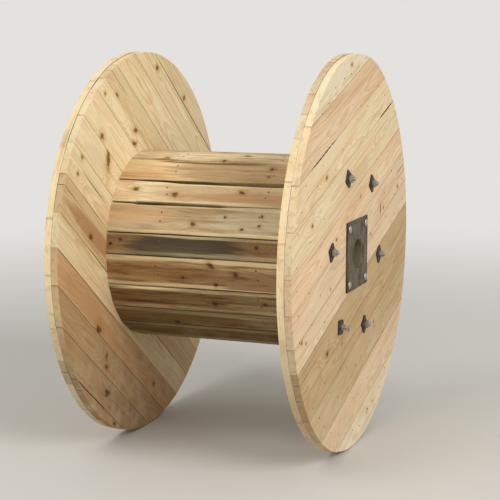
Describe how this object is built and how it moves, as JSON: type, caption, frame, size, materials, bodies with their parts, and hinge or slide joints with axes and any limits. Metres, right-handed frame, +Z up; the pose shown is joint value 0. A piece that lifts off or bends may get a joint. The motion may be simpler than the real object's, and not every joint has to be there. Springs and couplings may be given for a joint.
{
  "type": "wooden cable drum",
  "caption": "Wooden cable drum: round crossed-plank flanges clamped by tie rods onto a barrel of staves, with a steel-bushed spindle bore. Cable, wire or rope is wound on the barrel.",
  "frame": {"origin": "the drum's centre: on the spindle axis, midway between the flanges", "axes": "+X along the spindle axis, +Z up, with the drum lying on both flange rims"},
  "size_m": [0.914, 1.4, 1.4],
  "materials": {
    "flange_pine": "sawn pine planks, raw, pale straw to pinkish tan, with knots",
    "stave_pine": "sawn pine staves, raw, with waney pale edges and one grey-stained stave",
    "former_pine": "sawn pine, raw, plain",
    "hub_steel": "hot-rolled plate with dark mill scale",
    "washer_steel": "black oxide plate",
    "zinc_steel": "bright zinc plated"
  },
  "bodies": {
    "root": {"left_former_planks": "former_pine", "left_hub_bolts": "zinc_steel", "left_hub_nuts": "zinc_steel", "left_hub_plate": "hub_steel", "left_inner_planks": "flange_pine", "left_outer_planks": "flange_pine", "left_tie_nuts": "zinc_steel", "left_washers": "washer_steel", "right_former_planks": "former_pine", "right_hub_bolts": "zinc_steel", "right_hub_nuts": "zinc_steel", "right_hub_plate": "hub_steel", "right_inner_planks": "flange_pine", "right_outer_planks": "flange_pine", "right_tie_nuts": "zinc_steel", "right_washers": "washer_steel", "stave_01": "stave_pine", "stave_02": "stave_pine", "stave_03": "stave_pine", "stave_04": "stave_pine", "stave_05": "stave_pine", "stave_06": "stave_pine", "stave_07": "stave_pine", "stave_08": "stave_pine", "stave_09": "stave_pine", "stave_10": "stave_pine", "stave_11": "stave_pine", "stave_12": "stave_pine", "stave_13": "stave_pine", "stave_14": "stave_pine", "stave_15": "stave_pine", "stave_16": "stave_pine", "stave_17": "stave_pine", "stave_18": "stave_pine", "stave_19": "stave_pine", "stave_20": "stave_pine", "stave_21": "stave_pine", "tie_rod_1": "zinc_steel", "tie_rod_2": "zinc_steel", "tie_rod_3": "zinc_steel", "tie_rod_4": "zinc_steel", "tie_rod_5": "zinc_steel", "tie_rod_6": "zinc_steel"}
  },
  "joints": []
}
